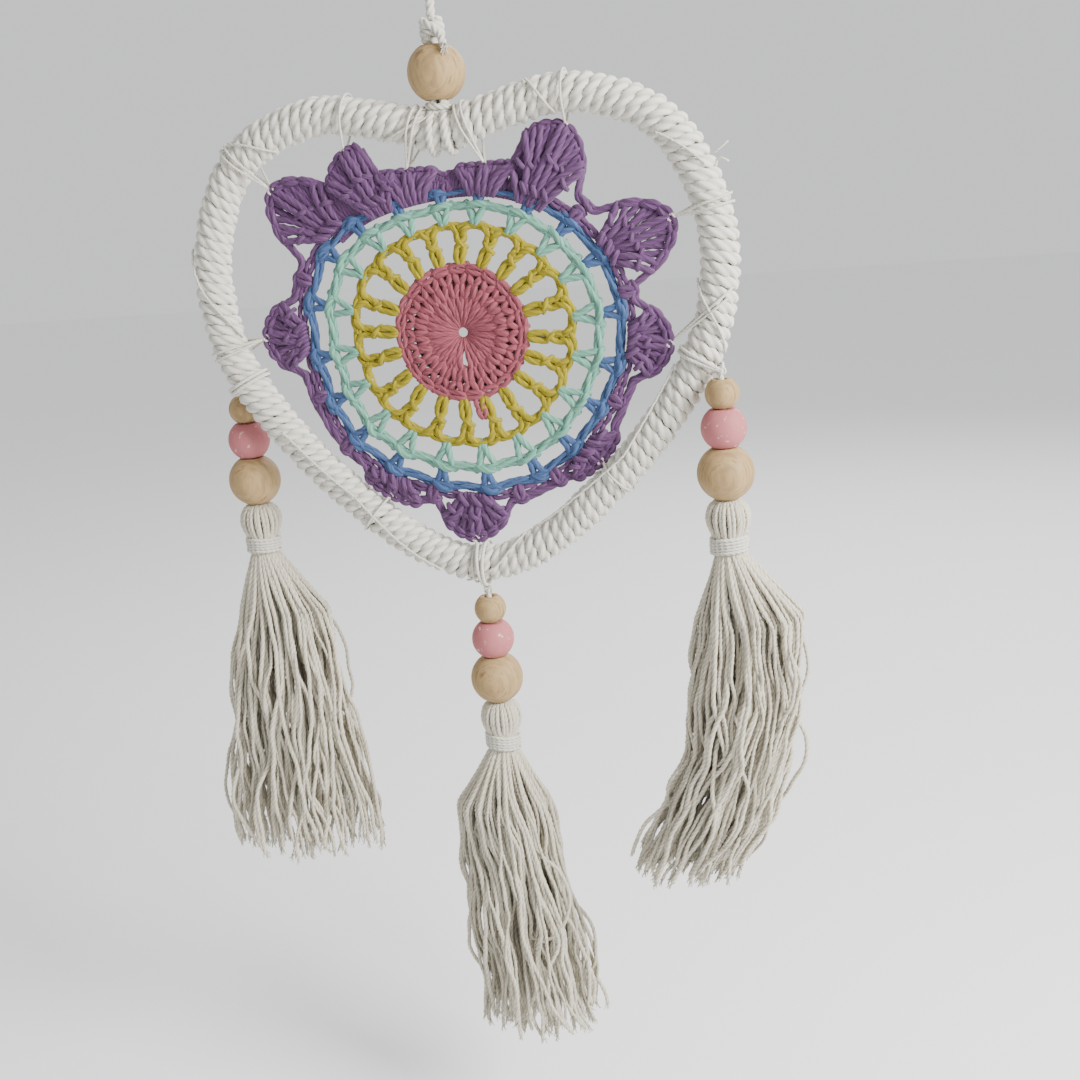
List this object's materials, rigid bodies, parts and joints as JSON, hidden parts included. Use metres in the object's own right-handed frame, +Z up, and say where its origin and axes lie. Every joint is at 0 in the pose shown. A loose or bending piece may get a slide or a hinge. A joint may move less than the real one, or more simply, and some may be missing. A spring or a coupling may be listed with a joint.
{
  "type": "dream catcher",
  "caption": "Heart-shaped dream catcher: cord-wrapped wire frame, round crochet web in coloured rings, wooden bead drops with cotton tassels, and a knotted hanging cord with a bead.",
  "frame": {"origin": "inside top of the hanging loop, where a hook or nail carries it", "axes": "+Z up along the hanging cord; +X to the right and +Y to the back as seen from its front"},
  "size_m": [0.2379, 0.0511, 0.4684],
  "materials": {
    "cotton_cord": "matt off-white cotton cord",
    "tassel_cotton": "matt cream cotton strands",
    "steel_wire": "plain drawn wire",
    "natural_wood": "smooth unvarnished turned wood",
    "pink_paint": "thin matt pink paint on wood",
    "pink_yarn": "matt dusty pink cotton yarn",
    "yellow_yarn": "matt mustard cotton yarn",
    "mint_yarn": "matt mint cotton yarn",
    "blue_yarn": "matt denim blue cotton yarn",
    "purple_yarn": "matt mauve cotton yarn"
  },
  "bodies": {
    "root": {"hanging_loop": "cotton_cord", "loop_knot": "cotton_cord"},
    "line": {"hanging_cord": "cotton_cord"},
    "line_end": {"top_knot": "cotton_cord"},
    "heart": {"bead_cord": "cotton_cord", "hitch_cord": "cotton_cord", "heart_ring": "steel_wire", "frame_wrap_upper": "cotton_cord", "frame_wrap_lower": "cotton_cord", "web_round_pink": "pink_yarn", "web_round_yellow": "yellow_yarn", "web_round_mint": "mint_yarn", "web_round_blue": "blue_yarn", "web_round_purple": "purple_yarn", "web_tie_01": "cotton_cord", "web_tie_02": "cotton_cord", "web_tie_03": "cotton_cord", "web_tie_04": "cotton_cord", "web_tie_05": "cotton_cord", "web_tie_06": "cotton_cord", "web_tie_07": "cotton_cord", "web_tie_08": "cotton_cord", "web_tie_09": "cotton_cord", "web_tie_10": "cotton_cord", "web_tie_11": "cotton_cord", "left_tie": "cotton_cord", "right_tie": "cotton_cord", "bottom_tie": "cotton_cord"},
    "top_bead": {"top_bead": "natural_wood"},
    "left_hinge": {"left_knot": "cotton_cord"},
    "left_line": {"left_cord": "cotton_cord"},
    "left_small_bead": {"left_small_bead": "natural_wood"},
    "left_pink_bead": {"left_pink_bead": "pink_paint"},
    "left_large_bead": {"left_large_bead": "natural_wood"},
    "left_tassel": {"left_tassel_head": "tassel_cotton", "left_tassel_binding": "cotton_cord", "left_tassel_skirt": "tassel_cotton"},
    "right_hinge": {"right_knot": "cotton_cord"},
    "right_line": {"right_cord": "cotton_cord"},
    "right_small_bead": {"right_small_bead": "natural_wood"},
    "right_pink_bead": {"right_pink_bead": "pink_paint"},
    "right_large_bead": {"right_large_bead": "natural_wood"},
    "right_tassel": {"right_tassel_head": "tassel_cotton", "right_tassel_binding": "cotton_cord", "right_tassel_skirt": "tassel_cotton"},
    "bottom_hinge": {"bottom_knot": "cotton_cord"},
    "bottom_line": {"bottom_cord": "cotton_cord"},
    "bottom_small_bead": {"bottom_small_bead": "natural_wood"},
    "bottom_pink_bead": {"bottom_pink_bead": "pink_paint"},
    "bottom_large_bead": {"bottom_large_bead": "natural_wood"},
    "bottom_tassel": {"bottom_tassel_head": "tassel_cotton", "bottom_tassel_binding": "cotton_cord", "bottom_tassel_skirt": "tassel_cotton"}
  },
  "joints": [
    {"name": "line_swing", "type": "hinge", "parent": "root", "child": "line", "pos_m": [0, 0, -0.0385], "axis": [1, 0, 0], "range_deg": [-25, 25]},
    {"name": "heart_sway", "type": "hinge", "parent": "line", "child": "line_end", "pos_m": [0, 0, -0.0829], "axis": [0, 1, 0], "range_deg": [-20, 20]},
    {"name": "heart_turn", "type": "hinge", "parent": "line_end", "child": "heart", "pos_m": [0, 0, -0.0829], "axis": [0, 0, 1], "range_deg": [-180, 180]},
    {"name": "top_bead_spin", "type": "hinge", "parent": "heart", "child": "top_bead", "pos_m": [0, 0, -0.0964], "axis": [0, 0, 1], "continuous": true},
    {"name": "left_swing", "type": "hinge", "parent": "heart", "child": "left_hinge", "pos_m": [-0.092, 0.0075, -0.2023], "axis": [1, 0, 0], "range_deg": [-2, 22]},
    {"name": "left_sway", "type": "hinge", "parent": "left_hinge", "child": "left_line", "pos_m": [-0.092, 0.0075, -0.2023], "axis": [0, 1, 0], "range_deg": [-2, 12]},
    {"name": "left_small_bead_spin", "type": "hinge", "parent": "left_line", "child": "left_small_bead", "pos_m": [-0.092, 0.0075, -0.2099], "axis": [0, 0, 1], "continuous": true},
    {"name": "left_pink_bead_spin", "type": "hinge", "parent": "left_line", "child": "left_pink_bead", "pos_m": [-0.092, 0.0075, -0.22185], "axis": [0, 0, 1], "continuous": true},
    {"name": "left_large_bead_spin", "type": "hinge", "parent": "left_line", "child": "left_large_bead", "pos_m": [-0.092, 0.0075, -0.2378], "axis": [0, 0, 1], "continuous": true},
    {"name": "left_tassel_turn", "type": "hinge", "parent": "left_line", "child": "left_tassel", "pos_m": [-0.092, 0.0075, -0.2471], "axis": [0, 0, 1], "range_deg": [-180, 180]},
    {"name": "right_swing", "type": "hinge", "parent": "heart", "child": "right_hinge", "pos_m": [0.092, -0.0075, -0.2023], "axis": [1, 0, 0], "range_deg": [-22, 2]},
    {"name": "right_sway", "type": "hinge", "parent": "right_hinge", "child": "right_line", "pos_m": [0.092, -0.0075, -0.2023], "axis": [0, 1, 0], "range_deg": [-12, 2]},
    {"name": "right_small_bead_spin", "type": "hinge", "parent": "right_line", "child": "right_small_bead", "pos_m": [0.092, -0.0075, -0.2099], "axis": [0, 0, 1], "continuous": true},
    {"name": "right_pink_bead_spin", "type": "hinge", "parent": "right_line", "child": "right_pink_bead", "pos_m": [0.092, -0.0075, -0.22185], "axis": [0, 0, 1], "continuous": true},
    {"name": "right_large_bead_spin", "type": "hinge", "parent": "right_line", "child": "right_large_bead", "pos_m": [0.092, -0.0075, -0.2378], "axis": [0, 0, 1], "continuous": true},
    {"name": "right_tassel_turn", "type": "hinge", "parent": "right_line", "child": "right_tassel", "pos_m": [0.092, -0.0075, -0.2471], "axis": [0, 0, 1], "range_deg": [-180, 180]},
    {"name": "bottom_swing", "type": "hinge", "parent": "heart", "child": "bottom_hinge", "pos_m": [0, 0, -0.2822], "axis": [1, 0, 0], "range_deg": [-30, 30]},
    {"name": "bottom_sway", "type": "hinge", "parent": "bottom_hinge", "child": "bottom_line", "pos_m": [0, 0, -0.2822], "axis": [0, 1, 0], "range_deg": [-13, 17]},
    {"name": "bottom_small_bead_spin", "type": "hinge", "parent": "bottom_line", "child": "bottom_small_bead", "pos_m": [0, 0, -0.2898], "axis": [0, 0, 1], "continuous": true},
    {"name": "bottom_pink_bead_spin", "type": "hinge", "parent": "bottom_line", "child": "bottom_pink_bead", "pos_m": [0, 0, -0.30175], "axis": [0, 0, 1], "continuous": true},
    {"name": "bottom_large_bead_spin", "type": "hinge", "parent": "bottom_line", "child": "bottom_large_bead", "pos_m": [0, 0, -0.3177], "axis": [0, 0, 1], "continuous": true},
    {"name": "bottom_tassel_turn", "type": "hinge", "parent": "bottom_line", "child": "bottom_tassel", "pos_m": [0, 0, -0.327], "axis": [0, 0, 1], "range_deg": [-180, 180]}
  ]
}
